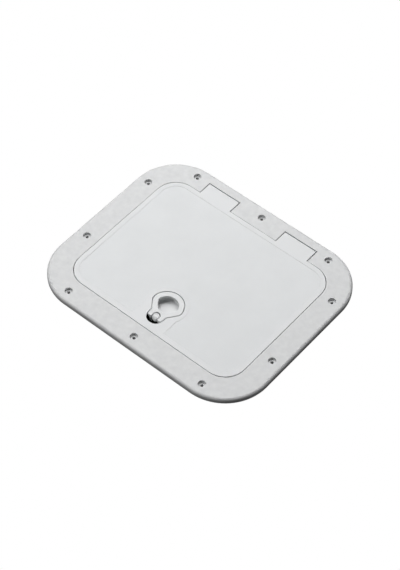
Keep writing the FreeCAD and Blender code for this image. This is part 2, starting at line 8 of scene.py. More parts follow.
import bmesh
import bpy
import numpy as np
from mathutils import Matrix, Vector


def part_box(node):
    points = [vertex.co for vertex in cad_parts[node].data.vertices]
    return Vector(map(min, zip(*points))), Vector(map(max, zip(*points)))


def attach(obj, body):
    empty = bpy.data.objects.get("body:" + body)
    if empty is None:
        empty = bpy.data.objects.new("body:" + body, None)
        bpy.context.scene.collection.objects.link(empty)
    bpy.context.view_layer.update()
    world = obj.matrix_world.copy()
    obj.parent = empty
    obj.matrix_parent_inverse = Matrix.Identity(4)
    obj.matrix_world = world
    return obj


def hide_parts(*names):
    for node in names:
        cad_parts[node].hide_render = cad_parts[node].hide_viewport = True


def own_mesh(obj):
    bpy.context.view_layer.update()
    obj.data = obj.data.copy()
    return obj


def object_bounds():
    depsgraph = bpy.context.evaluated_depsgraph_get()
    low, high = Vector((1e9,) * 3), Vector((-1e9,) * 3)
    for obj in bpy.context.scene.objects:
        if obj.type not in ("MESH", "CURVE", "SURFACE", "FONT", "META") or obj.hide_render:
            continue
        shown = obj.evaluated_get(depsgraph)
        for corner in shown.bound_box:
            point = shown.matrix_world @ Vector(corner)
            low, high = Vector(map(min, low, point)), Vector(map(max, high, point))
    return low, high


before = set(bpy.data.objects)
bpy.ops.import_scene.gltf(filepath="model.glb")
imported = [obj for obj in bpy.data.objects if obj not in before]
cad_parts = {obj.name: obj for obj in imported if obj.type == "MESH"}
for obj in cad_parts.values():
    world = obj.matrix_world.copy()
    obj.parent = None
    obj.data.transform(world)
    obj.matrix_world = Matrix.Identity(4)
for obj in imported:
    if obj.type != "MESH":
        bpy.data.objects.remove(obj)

CAD_BOX = [[float(v) for v in corner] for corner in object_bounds()]
MM = 0.001
MERGE_MM = 0.001
SCATTER_X = (127.1, 311.7, 43758.5453)
SCATTER_Y = (269.5, 183.3, 24634.6345)

log = logging.getLogger("hatch")


def linear(hex_colour: str) -> tuple[float, float, float, float]:
    """Turn an sRGB hex colour into linear light.

    Args:
        hex_colour: Six hex digits with a leading hash.

    Returns:
        Red, green, blue and an alpha of one.
    """
    shares = (int(hex_colour[i:i + 2], 16) / 255 for i in (1, 3, 5))
    red, green, blue = (s / 12.92 if s <= 0.04045 else ((s + 0.055) / 1.055) ** 2.4 for s in shares)
    return red, green, blue, 1.0


def add_node(tree: bpy.types.NodeTree, kind: str, inputs: dict | None = None, **settings: object) -> bpy.types.Node:
    """Add a node with its settings, values and links.

    Args:
        tree: The tree that gets the node.
        kind: Blender's name for the kind of node.
        inputs: Values or output sockets by the name or number of the input.
        settings: Properties of the node itself.

    Returns:
        The new node.
    """
    node = tree.nodes.new(kind)
    for name, value in settings.items():
        setattr(node, name, value)
    for name, value in (inputs or {}).items():
        if isinstance(value, bpy.types.NodeSocket):
            tree.links.new(value, node.inputs[name])
        else:
            node.inputs[name].default_value = value
    return node


def add_noise(tree: bpy.types.NodeTree, where: bpy.types.NodeSocket, size_mm: float, layers: float,
              breakup: float = 0.5) -> bpy.types.NodeSocket:
    """Add a cloudy noise.

    Args:
        tree: The tree that gets the node.
        where: Socket of the place on the object.
        size_mm: Size of the largest clouds.
        layers: Number of finer layers in them.
        breakup: Strength of each finer layer, as a share of the one before.

    Returns:
        The socket of the noise, from 0 to 1.
    """
    noise = add_node(tree, "ShaderNodeTexNoise", {"Vector": where, "Scale": 1 / (size_mm * MM), "Detail": layers,
                                                  "Roughness": breakup})
    return noise.outputs["Fac"]


def add_cells(tree: bpy.types.NodeTree, where: bpy.types.NodeSocket, size_mm: float,
              **settings: object) -> bpy.types.NodeSocket:
    """Add scattered cells.

    Args:
        tree: The tree that gets the node.
        where: Socket of the place on the object.
        size_mm: Mean distance between the cells' middles.
        settings: Properties of the node itself.

    Returns:
        The socket of the distance from the nearest cell's middle.
    """
    cells = add_node(tree, "ShaderNodeTexVoronoi", {"Vector": where, "Scale": 1 / (size_mm * MM)}, **settings)
    return cells.outputs["Distance"]


def add_bump(tree: bpy.types.NodeTree, shader: bpy.types.Node, height: bpy.types.NodeSocket, depth_mm: float,
             strength: float = 1.0, under: bpy.types.NodeSocket | None = None, **settings: object) -> None:
    """Let a shader's normal follow a height.

    Args:
        tree: The material's tree.
        shader: The shader that gets the normal.
        height: Socket of the height, from 0 to 1.
        depth_mm: What a height of 1 stands for.
        strength: Share of the bump that shows.
        under: Socket of the normal under the bump, where it isn't the surface's own.
        settings: Properties of the node itself.
    """
    inputs = {"Height": height, "Strength": strength, "Distance": depth_mm * MM}
    if under is not None:
        inputs["Normal"] = under
    bump = add_node(tree, "ShaderNodeBump", inputs, **settings)
    tree.links.new(bump.outputs["Normal"], shader.inputs["Normal"])


def smooth_step(value: np.ndarray) -> np.ndarray:
    """Ease from 0 to 1: three squares less two cubes of the value, held to 0 and 1."""
    held = np.clip(value, 0.0, 1.0)
    return held * held * (3.0 - 2.0 * held)


def scatter(column: np.ndarray, row: np.ndarray, mix: tuple[float, float, float]) -> np.ndarray:
    """Scattered shares of one, the same each time, for the squares of a grid.

    The share is what follows the point of a large multiple of the sine of a mix of both numbers.

    Args:
        column: Numbers of the squares along the first direction.
        row: Numbers of the squares along the second direction.
        mix: Weights of the two numbers, and the multiple.

    Returns:
        Shares from 0 to 1.
    """
    return np.sin(column * mix[0] + row * mix[1]) * mix[2] % 1.0


def grid_faces(rows: int, columns: int, wrap_rows: bool = False, wrap_columns: bool = False) -> np.ndarray:
    """Number the four corners of each cell of a grid.

    Args:
        rows: Points along the first parameter.
        columns: Points along the second parameter.
        wrap_rows: Whether the last row meets the first.
        wrap_columns: Whether the last column meets the first.

    Returns:
        One row of four point numbers for each face.
    """
    first = np.arange(rows if wrap_rows else rows - 1)[:, None]
    second = np.arange(columns if wrap_columns else columns - 1)[None, :]
    next_row, next_column = (first + 1) % rows, (second + 1) % columns
    corners = (first * columns + second, next_row * columns + second,
               next_row * columns + next_column, first * columns + next_column)
    return np.stack([np.broadcast_to(c, (first.size, second.size)) for c in corners], axis=-1).reshape(-1, 4)


def make_piece(name: str, points: np.ndarray, faces: np.ndarray, merge: bool = False) -> bpy.types.Object:
    """Put a worked-out surface into a smooth mesh whose object sits at the origin.

    Args:
        name: Name of the piece.
        points: Places in millimetres, one row each.
        faces: Point numbers, one row each.
        merge: Whether points that meet are made one, as at a pole.

    Returns:
        The new object.
    """
    mesh = bpy.data.meshes.new(name)
    mesh.vertices.add(len(points))
    mesh.vertices.foreach_set("co", (points * MM).astype(np.float32).ravel())
    mesh.loops.add(faces.size)
    mesh.loops.foreach_set("vertex_index", faces.astype(np.int32).ravel())
    mesh.polygons.add(len(faces))
    mesh.polygons.foreach_set("loop_start", np.arange(0, faces.size, faces.shape[1], dtype=np.int32))
    mesh.polygons.foreach_set("use_smooth", np.ones(len(faces), dtype=bool))
    mesh.update(calc_edges=True)
    mesh.validate()
    if merge:
        work = bmesh.new()
        work.from_mesh(mesh)
        bmesh.ops.remove_doubles(work, verts=work.verts, dist=MERGE_MM * MM)
        bmesh.ops.recalc_face_normals(work, faces=work.faces)
        work.to_mesh(mesh)
        work.free()
    piece = bpy.data.objects.new(name, mesh)
    bpy.context.scene.collection.objects.link(piece)
    return piece


def dress(piece: bpy.types.Object, material: bpy.types.Material) -> None:
    """Give every slot of a piece one material."""
    if not piece.material_slots:
        piece.data.materials.append(material)
    for place in piece.material_slots:
        place.material = material


class Slot(Enum):
    """Material slots of the record."""

    HATCH = "hatch_plastic"
    LATCH = "latch_plastic"
    BOLT = "bolt_acetal"
    GASKET = "gasket_rubber"
    PIN = "stainless_pin"
    SCREW = "stainless_screw"
    SPRING = "spring_steel"


class Lay(Enum):
    """Direction that a metal's drawing or turning marks run in."""

    ALONG_X = (1.0, 0.04, 0.04)
    ROUND_Z = (0.06, 0.06, 1.0)
    ALONG_Y = (0.04, 1.0, 0.04)


@dataclass(frozen=True)
class Finish:
    """What every finish has: its name, its colours and its roughness."""

    name: str
    colour: str
    shade: str
    roughness: float

    def start(self) -> tuple[bpy.types.Material, bpy.types.NodeTree, bpy.types.Node, bpy.types.NodeSocket]:
        """Start a material with its shader and its place on the object.

        Returns:
            The material, its tree, its shader node and the socket of object coordinates.
        """
        material = bpy.data.materials.new(self.name)
        material.use_nodes = True
        tree = material.node_tree
        shader = tree.nodes["Principled BSDF"]
        shader.inputs["Base Color"].default_value = linear(self.colour)
        shader.inputs["Roughness"].default_value = self.roughness
        where = add_node(tree, "ShaderNodeTexCoord").outputs["Object"]
        return material, tree, shader, where

    def tint(self, tree: bpy.types.NodeTree, shader: bpy.types.Node, share: bpy.types.NodeSocket) -> None:
        """Blend the colour towards its shade.

        Args:
            tree: The material's tree.
            shader: The shader that gets the colour.
            share: Socket of the shade's share.
        """
        blend = add_node(tree, "ShaderNodeMix", {0: share, 6: linear(self.colour), 7: linear(self.shade)},
                         data_type="RGBA")
        tree.links.new(blend.outputs[2], shader.inputs["Base Color"])

    def shine(self, tree: bpy.types.NodeTree, shader: bpy.types.Node, value: bpy.types.NodeSocket,
              span: tuple[float, float], swing: tuple[float, float]) -> None:
        """Let the roughness follow a value.

        Args:
            tree: The material's tree.
            shader: The shader that gets the roughness.
            value: Socket of the value.
            span: The values at which the roughness is least and greatest.
            swing: What is then added to the finish's roughness.
        """
        limits = {"Value": value, "From Min": span[0], "From Max": span[1],
                  "To Min": self.roughness + swing[0], "To Max": self.roughness + swing[1]}
        rough = add_node(tree, "ShaderNodeMapRange", limits)
        tree.links.new(rough.outputs["Result"], shader.inputs["Roughness"])


@dataclass(frozen=True)
class MouldedPlastic(Finish):
    """Injection moulded plastic: a soft, even sheen over the fine grain that a spark-eroded mould leaves."""

    ior: float = 1.53
    cloud_mm: float = 60.0
    cloud_layers: float = 3.0
    cloud_breakup: float = 0.55
    grain_mm: float = 0.9
    grain_layers: float = 4.0
    grain_breakup: float = 0.6
    grain_height_mm: float = 0.012
    grain_span: tuple[float, float] = (0.3, 0.7)
    roughness_swing: float = 0.06
    edge_mm: float = 0.25
    edge_samples: int = 4
    glow_share: float = 0.0
    glow_mm: float = 1.2
    glow_tint: tuple[float, float, float] = (1.0, 1.0, 0.95)

    def material(self) -> bpy.types.Material:
        """Build the plastic: clouded colour, uneven shine, grain, softly rounded edges and light let a little way in.

        Returns:
            The finished material.
        """
        material, tree, shader, where = self.start()
        self.tint(tree, shader, add_noise(tree, where, self.cloud_mm, self.cloud_layers, self.cloud_breakup))
        grain = add_noise(tree, where, self.grain_mm, self.grain_layers, self.grain_breakup)
        self.shine(tree, shader, grain, self.grain_span, (-self.roughness_swing, self.roughness_swing))
        edge = add_node(tree, "ShaderNodeBevel", {"Radius": self.edge_mm * MM}, samples=self.edge_samples)
        add_bump(tree, shader, grain, self.grain_height_mm, under=edge.outputs["Normal"])
        shader.inputs["IOR"].default_value = self.ior
        shader.inputs["Subsurface Weight"].default_value = self.glow_share
        shader.inputs["Subsurface Radius"].default_value = self.glow_tint
        shader.inputs["Subsurface Scale"].default_value = self.glow_mm * MM
        return material


@dataclass(frozen=True)
class CavityShadePlastic(MouldedPlastic):
    """Moulded plastic with painted shade: near black in one box-shaped cavity round a bare post, and on the post's
    foot.
    """

    # Colour of the painted shade.
    painted_shade_colour: str = "#101112"
    low_mm: tuple[float, float, float] = (-13.0, -102.7, -8.0)
    high_mm: tuple[float, float, float] = (13.0, -84.2, 3.9)
    post_mm: tuple[float, float, float] = (0.0, -93.05, 0.0)
    post_radius_mm: float = 5.45
    post_foot_mm: float = 2.0

    def material(self) -> bpy.types.Material:
        """Build the plastic and paint shade, near black, inside the cavity.

        A place is inside the box where its distance from the box's middle is less than half the box along all three
        axes. It is beside the post where its plan distance from the post's axis is more than the post's radius. Inside
        the box, what is beside the post gets the painted shade, and so does the post's foot.

        Returns:
            The finished material.
        """
        material = super().material()
        tree = material.node_tree
        shader = tree.nodes["Principled BSDF"]
        where = add_node(tree, "ShaderNodeTexCoord").outputs["Object"]
        low, high = np.array(self.low_mm) * MM, np.array(self.high_mm) * MM
        away = add_node(tree, "ShaderNodeVectorMath", {0: where, 1: tuple((low + high) / 2)}, operation="SUBTRACT")
        size = add_node(tree, "ShaderNodeVectorMath", {0: away.outputs[0]}, operation="ABSOLUTE")
        past = add_node(tree, "ShaderNodeVectorMath", {0: size.outputs[0], 1: tuple((high - low) / 2)},
                        operation="SUBTRACT")
        axes = add_node(tree, "ShaderNodeSeparateXYZ", {0: past.outputs[0]}).outputs
        most = add_node(tree, "ShaderNodeMath", {0: axes[0], 1: axes[1]}, operation="MAXIMUM")
        most = add_node(tree, "ShaderNodeMath", {0: most.outputs[0], 1: axes[2]}, operation="MAXIMUM")
        inside = add_node(tree, "ShaderNodeMath", {0: most.outputs[0], 1: 0.0}, operation="LESS_THAN")
        plan = add_node(tree, "ShaderNodeVectorMath", {0: where, 1: (1.0, 1.0, 0.0)}, operation="MULTIPLY")
        reach = add_node(tree, "ShaderNodeVectorMath", {0: plan.outputs[0], 1: tuple(np.array(self.post_mm) * MM)},
                         operation="DISTANCE")
        beside = add_node(tree, "ShaderNodeMath", {0: reach.outputs["Value"], 1: self.post_radius_mm * MM},
                          operation="GREATER_THAN")
        level = add_node(tree, "ShaderNodeSeparateXYZ", {0: where}).outputs[2]
        foot = add_node(tree, "ShaderNodeMath", {0: level, 1: self.post_foot_mm * MM}, operation="LESS_THAN")
        either = add_node(tree, "ShaderNodeMath", {0: beside.outputs[0], 1: foot.outputs[0]}, operation="MAXIMUM")
        painted_shade_share = add_node(tree, "ShaderNodeMath", {0: inside.outputs[0], 1: either.outputs[0]}, operation="MULTIPLY")
        # Painted shade: the cavity's walls and the post's foot are blended to near black where the shade falls.
        colour = shader.inputs["Base Color"].links[0].from_socket
        blend = add_node(tree, "ShaderNodeMix", {0: painted_shade_share.outputs[0], 6: colour, 7: linear(self.painted_shade_colour)},
                         data_type="RGBA")
        tree.links.new(blend.outputs[2], shader.inputs["Base Color"])
        return material


@dataclass(frozen=True)
class LeatherGrainPlastic(Finish):
    """Moulded plastic with the dull pebbled non-skid grain of a hatch lid."""

    ior: float = 1.53
    cloud_mm: float = 45.0
    cloud_layers: float = 4.0
    cloud_breakup: float = 0.6
    pebble_mm: float = 1.1
    pebble_height_mm: float = 0.03
    pebble_span: tuple[float, float] = (0.0, 0.8)
    roughness_swing: tuple[float, float] = (-0.08, 0.05)

    def material(self) -> bpy.types.Material:
        """Build the grain: small round cells between fine creases, over clouded colour.

        Returns:
            The finished material.
        """
        material, tree, shader, where = self.start()
        self.tint(tree, shader, add_noise(tree, where, self.cloud_mm, self.cloud_layers, self.cloud_breakup))
        cells = add_cells(tree, where, self.pebble_mm, feature="SMOOTH_F1")
        add_bump(tree, shader, cells, self.pebble_height_mm, invert=True)
        self.shine(tree, shader, cells, self.pebble_span, self.roughness_swing)
        shader.inputs["IOR"].default_value = self.ior
        return material


@dataclass(frozen=True)
class SpongeRubber(Finish):
    """Closed-cell EPDM rubber: near black and dull, with the open bubbles of its cut skin."""

    ior: float = 1.5
    bloom_mm: float = 9.0
    bloom_layers: float = 3.0
    bubble_mm: float = 0.6
    bubble_height_mm: float = 0.05
    bubble_share: float = 0.8
    dust: float = 0.15

    def material(self) -> bpy.types.Material:
        """Build the rubber: pitted skin with a greyer bloom in places.

        Returns:
            The finished material.
        """
        material, tree, shader, where = self.start()
        self.tint(tree, shader, add_noise(tree, where, self.bloom_mm, self.bloom_layers))
        add_bump(tree, shader, add_cells(tree, where, self.bubble_mm), self.bubble_height_mm, self.bubble_share)
        shader.inputs["IOR"].default_value = self.ior
        shader.inputs["Sheen Weight"].default_value = self.dust
        return material


@dataclass(frozen=True)
class MarkedSteel(Finish):
    """Stainless steel with the fine lines that drawing or turning leaves in it."""

    lay: Lay = Lay.ALONG_X
    line_mm: float = 0.12
    line_layers: float = 2.0
    line_height_mm: float = 0.004
    line_share: float = 0.6
    line_span: tuple[float, float] = (0.0, 1.0)
    roughness_swing: tuple[float, float] = (-0.08, 0.12)

    def material(self) -> bpy.types.Material:
        """Build the steel: lines drawn out along its lay, in colour, shine and height.

        Returns:
            The finished material.
        """
        material, tree, shader, where = self.start()
        drawn = add_node(tree, "ShaderNodeMapping", {"Vector": where, "Scale": self.lay.value})
        lines = add_noise(tree, drawn.outputs["Vector"], self.line_mm, self.line_layers)
        self.tint(tree, shader, lines)
        self.shine(tree, shader, lines, self.line_span, self.roughness_swing)
        add_bump(tree, shader, lines, self.line_height_mm, self.line_share)
        shader.inputs["Metallic"].default_value = 1.0
        return material


HATCH_SHELL = MouldedPlastic("asa_moulded_satin", "#E4E5E5", "#CECFD0", 0.45, cloud_mm=9.0, glow_share=0.4)
LID_SHELL = MouldedPlastic("asa_moulded_lid", "#E6E7E8", "#DEE0E1", 0.45, glow_share=0.4)
HATCH_PANEL = LeatherGrainPlastic("asa_moulded_leather_grain", "#E9EBEC", "#E0E2E3", 0.6)
LATCH_SHELL = MouldedPlastic("acetal_moulded_latch", "#E6E7E7", "#DFE1E2", 0.3, ior=1.48, cloud_mm=25.0, grain_mm=0.7,
                             grain_height_mm=0.006, edge_mm=0.3)
# The housing's bolt cavity carries painted shade, near black.
HOUSING_SHELL = CavityShadePlastic("acetal_moulded_housing", "#E6E7E7", "#DFE1E2", 0.32, ior=1.48, cloud_mm=25.0,
                             grain_mm=0.7, grain_height_mm=0.006, edge_mm=0.3)
BOLT_SHELL = MouldedPlastic("acetal_black_bolt", "#1B1C1D", "#242526", 0.3, ior=1.48, cloud_mm=12.0, grain_mm=0.5,
                            grain_height_mm=0.004, edge_mm=0.3)
GASKET_RUBBER = SpongeRubber("epdm_sponge_rubber", "#242526", "#3A3B3C", 0.85)
PIN_STEEL = MarkedSteel("stainless_drawn_pin", "#C3C6C8", "#8E9295", 0.3)
SCREW_STEEL = MarkedSteel("stainless_rolled_screw", "#B9BCBE", "#8E9295", 0.34, lay=Lay.ROUND_Z)
SPRING_STEEL = MarkedSteel("spring_steel_wire", "#A9ACAE", "#85898C", 0.32, lay=Lay.ALONG_Y)


@dataclass
class RoundedPath:
    """Rounded rectangle in plan, followed by a profile."""

    width: float
    depth: float
    radius: float
    corner_points: int = 24

    def sweep(self, profile: np.ndarray) -> tuple[np.ndarray, np.ndarray]:
        """Carry a closed profile round the path.

        A point is the corner's centre, plus the corner radius and the profile's outward offset along the direction of
        the corner's turn, at the profile's height. The straight runs lie between one corner's last turn and the next
        corner's first.

        Args:
            profile: Outward offsets and heights in millimetres, one row each.

        Returns:
            The points and the faces.
        """
        turns = np.linspace(0.0, math.pi / 2, self.corner_points)
        quarters = np.arange(4)[:, None] * math.pi / 2
        angle = (quarters + turns[None, :]).ravel()
        sign_x = np.repeat([1, -1, -1, 1], self.corner_points)
        sign_y = np.repeat([1, 1, -1, -1], self.corner_points)
        centre_x = sign_x * (self.width / 2 - self.radius)
        centre_y = sign_y * (self.depth / 2 - self.radius)
        reach = self.radius + profile[None, :, 0]
        x = centre_x[:, None] + reach * np.cos(angle)[:, None]
        y = centre_y[:, None] + reach * np.sin(angle)[:, None]
        z = np.broadcast_to(profile[None, :, 1], x.shape)
        points = np.stack([x, y, z], axis=-1).reshape(-1, 3)
        return points, grid_faces(angle.size, len(profile), wrap_rows=True, wrap_columns=True)


@dataclass
class FlangeFrame:
    """The flange with its well and collar, and the two hinge pins snapped into it."""

    pins: tuple[str, ...] = ("hinge_pin_left", "hinge_pin_right")

    def build(self) -> None:
        """Dress the moulded frame and its stainless pins."""
        dress(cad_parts["flange_frame"], HATCH_SHELL.material())
        steel = PIN_STEEL.material()
        for pin in self.pins:
            dress(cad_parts[pin], steel)
        log.info("flange frame and %d hinge pins dressed", len(self.pins))


@dataclass
class HatchLid:
    """The lid, with the pebbled tread of its panel and the sealing strip under its border."""

    well_width: float = 300.4
    well_depth: float = 237.0
    well_corner: float = 33.5
    panel_inset: float = 8.0
    panel_top: float = 7.7
    head_y: float = -69.9
    pad_radius: float = 31.0
    strip_half_width: float = 28.0
    step: float = 0.95
    pebble_pitch: float = 3.2
    pebble_height: float = 0.05
    pebble_jitter: float = 0.7
    crease_share: float = 0.45
    edge_cut: float = 0.1
    edge_flat: float = 0.3
    edge_fade: float = 1.6
    edge_sink: float = 0.05
    tread_lift: float = 0.01
    gasket_inset: float = 3.0
    gasket_width: float = 5.0
    gasket_low: float = 2.8
    gasket_high: float = 4.8
    gasket_bevel: float = 0.15
    rib_height: float = 0.65
    rib_power: float = 0.6
    rib_points: int = 33

    def build(self) -> None:
        """Dress the lid and build its tread and its sealing strip."""
        dress(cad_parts["hatch_lid"], LID_SHELL.material())
        self.tread()
        self.gasket()

    def edge_distance(self, x: np.ndarray, y: np.ndarray) -> np.ndarray:
        """Distance inwards from the edge of the panel and from the latch's pad.

        The distance to a rounded rectangle is its corner radius less the length of the part of the place that lies
        beyond the corner's centre. The distance to the pad is the least of that to its circle and that to its strip.

        Args:
            x: Places along the hatch.
            y: Places towards the hinges.

        Returns:
            Distances in millimetres, below zero outside the panel.
        """
        radius = self.well_corner - self.panel_inset
        beyond_x = np.abs(x) - (self.well_width / 2 - self.panel_inset - radius)
        beyond_y = np.abs(y) - (self.well_depth / 2 - self.panel_inset - radius)
        outside = np.hypot(np.maximum(beyond_x, 0), np.maximum(beyond_y, 0))
        panel = radius - outside - np.minimum(np.maximum(beyond_x, beyond_y), 0)
        circle = np.hypot(x, y - self.head_y) - self.pad_radius
        strip = np.where(y < self.head_y, np.abs(x) - self.strip_half_width, np.inf)
        return np.minimum(panel, np.minimum(circle, strip))

    def pebbles(self, x: np.ndarray, y: np.ndarray) -> np.ndarray:
        """Height of the leather-like grain, from 0 in a crease to 1 on a pebble.

        Each square of a grid holds one scattered centre. The height rises with the distance to the second nearest
        centre less the distance to the nearest one, which is nothing along the creases.

        Args:
            x: Places along the hatch.
            y: Places towards the hinges.

        Returns:
            Heights from 0 to 1.
        """
        column, row = np.floor(x / self.pebble_pitch), np.floor(y / self.pebble_pitch)
        margin = 0.15
        nearest = np.full(x.shape, np.inf)
        second = np.full(x.shape, np.inf)
        for shift_x in (-1, 0, 1):
            for shift_y in (-1, 0, 1):
                cx, cy = column + shift_x, row + shift_y
                centre_x = (cx + margin + self.pebble_jitter * scatter(cx, cy, SCATTER_X)) * self.pebble_pitch
                centre_y = (cy + margin + self.pebble_jitter * scatter(cx, cy, SCATTER_Y)) * self.pebble_pitch
                away = np.hypot(centre_x - x, centre_y - y)
                second = np.minimum(second, np.maximum(nearest, away))
                nearest = np.minimum(nearest, away)
        return smooth_step((second - nearest) / (self.crease_share * self.pebble_pitch))

    def tread(self) -> None:
        """Build the panel's raised grain as one height field over the recess.

        The height is the recess's level plus the pebbles, and it eases down under that level at the panel's edges.
        """
        reach_x = self.well_width / 2 - self.panel_inset
        reach_y = self.well_depth / 2 - self.panel_inset
        xs = np.linspace(-reach_x, reach_x, int(2 * reach_x / self.step))
        ys = np.linspace(-reach_y, reach_y, int(2 * reach_y / self.step))
        x, y = np.meshgrid(xs, ys, indexing="ij")
        inside = self.edge_distance(x, y)
        ease = smooth_step((inside - self.edge_flat) / self.edge_fade)
        rise = self.edge_sink + self.tread_lift + self.pebble_height * self.pebbles(x, y)
        z = self.panel_top - self.edge_sink + ease * rise
        points = np.stack([x, y, z], axis=-1).reshape(-1, 3)
        faces = grid_faces(len(xs), len(ys))
        faces = faces[(inside.ravel()[faces] > self.edge_cut).all(axis=1)]
        used, numbers = np.unique(faces, return_inverse=True)
        piece = make_piece("lid_panel_tread", points[used], numbers.reshape(-1, 4))
        dress(piece, HATCH_PANEL.material())
        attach(piece, "lid")
        log.info("%s: %d faces", piece.name, len(faces))

    def gasket(self) -> None:
        """Build the sealing strip: a flat back in its groove and two soft ribs towards the ledge.

        Between its straight sides, the lower face hangs down in the shape of two half waves.
        """
        half, bevel, high = self.gasket_width / 2, self.gasket_bevel, self.gasket_high
        across = np.linspace(-1.0, 1.0, self.rib_points)
        rib = np.abs(np.sin(across * math.pi)) ** self.rib_power
        low = self.gasket_low + self.rib_height * (1.0 - rib)
        bottom = np.stack([across * half, low], axis=-1)
        back = np.array([[half, high - bevel], [half - bevel, high], [bevel - half, high], [-half, high - bevel]])
        profile = np.concatenate([bottom, back])
        inset = self.gasket_inset + half
        path = RoundedPath(self.well_width - 2 * inset, self.well_depth - 2 * inset, self.well_corner - inset)
        points, faces = path.sweep(profile)
        piece = make_piece("lid_sealing_strip", points, faces, merge=True)
        dress(piece, GASKET_RUBBER.material())
        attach(piece, "lid")
        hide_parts("lid_gasket")
        log.info("%s: %d faces", piece.name, len(faces))


@dataclass
class BoltSpring:
    """The compression spring behind the bolt."""

    axis_z: float = -12.4
    wire_radius: float = 0.3
    coil_radius: float = 2.2
    turns: float = 9.0
    dead_turns: float = 1.0
    dead_pace: float = 0.12
    end_steps: int = 3
    pressed_share: float = 0.59
    front_y: float = -87.7
    back_y: float = -71.8
    per_turn: int = 40
    around: int = 12

    def build(self) -> None:
        """Wind the wire and let it shorten with the bolt.

        The wire's centre turns evenly round the axis. Its advance is slow in the dead turns at both ends and even
        between them. A ring of the wire lies in the plane of the outward direction and the one square to both it and
        the wire, and the wire closes to a point at its ends.
        """
        count = int(self.turns * self.per_turn) + 1
        turn = np.linspace(0.0, 1.0, count) * self.turns
        begin = smooth_step(turn / self.dead_turns - 0.5)
        end = smooth_step((self.turns - turn) / self.dead_turns - 0.5)
        pace = self.dead_pace + begin * end
        advance = np.concatenate([[0.0], np.cumsum((pace[1:] + pace[:-1]) / 2)])
        run = self.back_y - self.front_y - 2 * self.wire_radius
        y = self.front_y + self.wire_radius + run * advance / advance[-1]
        angle = 2 * math.pi * turn
        out = np.stack([np.cos(angle), np.zeros(count), np.sin(angle)], axis=-1)
        centre = self.coil_radius * out + np.stack([np.zeros(count), y, np.full(count, self.axis_z)], axis=-1)
        along = np.gradient(centre, axis=0)
        along /= np.linalg.norm(along, axis=1, keepdims=True)
        side = np.cross(along, out)
        steps = np.minimum(np.arange(count), np.arange(count)[::-1])
        thick = self.wire_radius * np.sqrt(1 - np.clip(1 - steps / self.end_steps, 0, 1) ** 2)
        ring = np.arange(self.around) * 2 * math.pi / self.around
        around = np.cos(ring)[None, :, None] * out[:, None, :] + np.sin(ring)[None, :, None] * side[:, None, :]
        points = centre[:, None, :] + thick[:, None, None] * around
        piece = make_piece("bolt_return_spring", points.reshape(-1, 3),
                           grid_faces(count, self.around, wrap_columns=True), merge=True)
        dress(piece, SPRING_STEEL.material())
        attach(piece, "lid")
        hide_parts("bolt_spring")
        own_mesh(piece)
        log.info("%s: %d turns", piece.name, self.turns)


@dataclass
class PanScrew:
    """One thread-forming pan head screw, driven upwards."""

    node: str
    diameter: float
    length: float
    pitch: float
    around: int = 40
    dome_rows: int = 22
    dome_end: float = 0.9
    rim_rows: int = 9
    rim_start: float = 0.92
    rows_per_turn: int = 12
    recess_share: float = 0.5
    thread_share: float = 0.12
    thread_foot: float = 0.45
    thread_flank: float = 0.5
    tip_turns: float = 1.2
    tip_share: float = 0.35
    blade_share: float = 0.13
    blade_reach: float = 0.58
    blade_edge: float = 0.08
    blade_run_out: float = 2.5

    def build(self, steel: bpy.types.Material) -> None:
        """Build the screw as one surface, from the middle of its recess over its head to the tip of its thread.

        The radius and the height run along the profile. The head is twice as wide as the thread, and its dome is a
        flattened quarter of an ellipse, cut by a cross that is deepest in the middle. Along the shank, the radius adds
        a ridge that climbs one pitch a turn, and it tapers at the tip.

        Args:
            steel: The material of all the screws.
        """
        low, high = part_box(self.node)
        centre = [(a + b) / 2 / MM for a, b in zip(low, high)]
        under, tip = low[2] / MM, high[2] / MM
        seat = tip - self.length
        rise = seat - under
        angle = np.arange(self.around) * 2 * math.pi / self.around
        across = np.concatenate([np.linspace(0.0, self.dome_end, self.dome_rows),
                                 np.linspace(self.rim_start, 1.0, self.rim_rows)])
        dome_r = across * self.diameter
        dome_z = seat - rise * np.sqrt(np.clip(1 - across ** 4, 0, 1))
        rows = int(self.length / self.pitch * self.rows_per_turn)
        climb = np.linspace(0.0, 1.0, rows)
        shank_z = seat + climb * self.length
        core = self.diameter * (0.5 - self.thread_share)
        r = np.concatenate([dome_r, np.full(rows, core), [0.0]])
        z = np.concatenate([dome_z, shank_z, [tip]])
        rr, aa = np.meshgrid(r, angle, indexing="ij")
        zz = np.broadcast_to(z[:, None], rr.shape).copy()
        cross = self.recess(rr * np.cos(aa), rr * np.sin(aa))
        zz[:len(across)] += self.recess_share * rise * cross[:len(across)]
        wave = np.abs(((zz - seat) / self.pitch - aa / (2 * math.pi)) % 1.0 - 0.5) * 2
        ridge = self.diameter * self.thread_share * smooth_step((wave - self.thread_foot) / self.thread_flank)
        taper = smooth_step((tip - zz) / (self.tip_turns * self.pitch))
        shank = slice(len(across), len(across) + rows)
        rr[shank] = (rr[shank] + ridge[shank]) * (self.tip_share + (1 - self.tip_share) * taper[shank])
        points = np.stack([centre[0] + rr * np.cos(aa), centre[1] + rr * np.sin(aa), zz], axis=-1).reshape(-1, 3)
        faces = grid_faces(len(r), self.around, wrap_columns=True)
        piece = make_piece(self.node + "_threaded", points, faces, merge=True)
        dress(piece, steel)
        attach(piece, "lid")
        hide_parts(self.node)

    def recess(self, x: np.ndarray, y: np.ndarray) -> np.ndarray:
        """Depth of the cross recess, from 0 outside it to 1 on its floor.

        Each blade is as deep as the lesser of two eased distances, to its flank and to its end.

        Args:
            x: Places across the head.
            y: Places across the head, square to x.

        Returns:
            Depths from 0 to 1.
        """
        half, reach, edge = (share * self.diameter for share in (self.blade_share, self.blade_reach, self.blade_edge))
        blades = []
        for along, across in ((x, y), (y, x)):
            flank = smooth_step((half - np.abs(across)) / edge + 0.5)
            end = smooth_step((reach - np.abs(along)) / (self.blade_run_out * edge))
            blades.append(np.minimum(flank, end))
        return np.maximum(*blades)


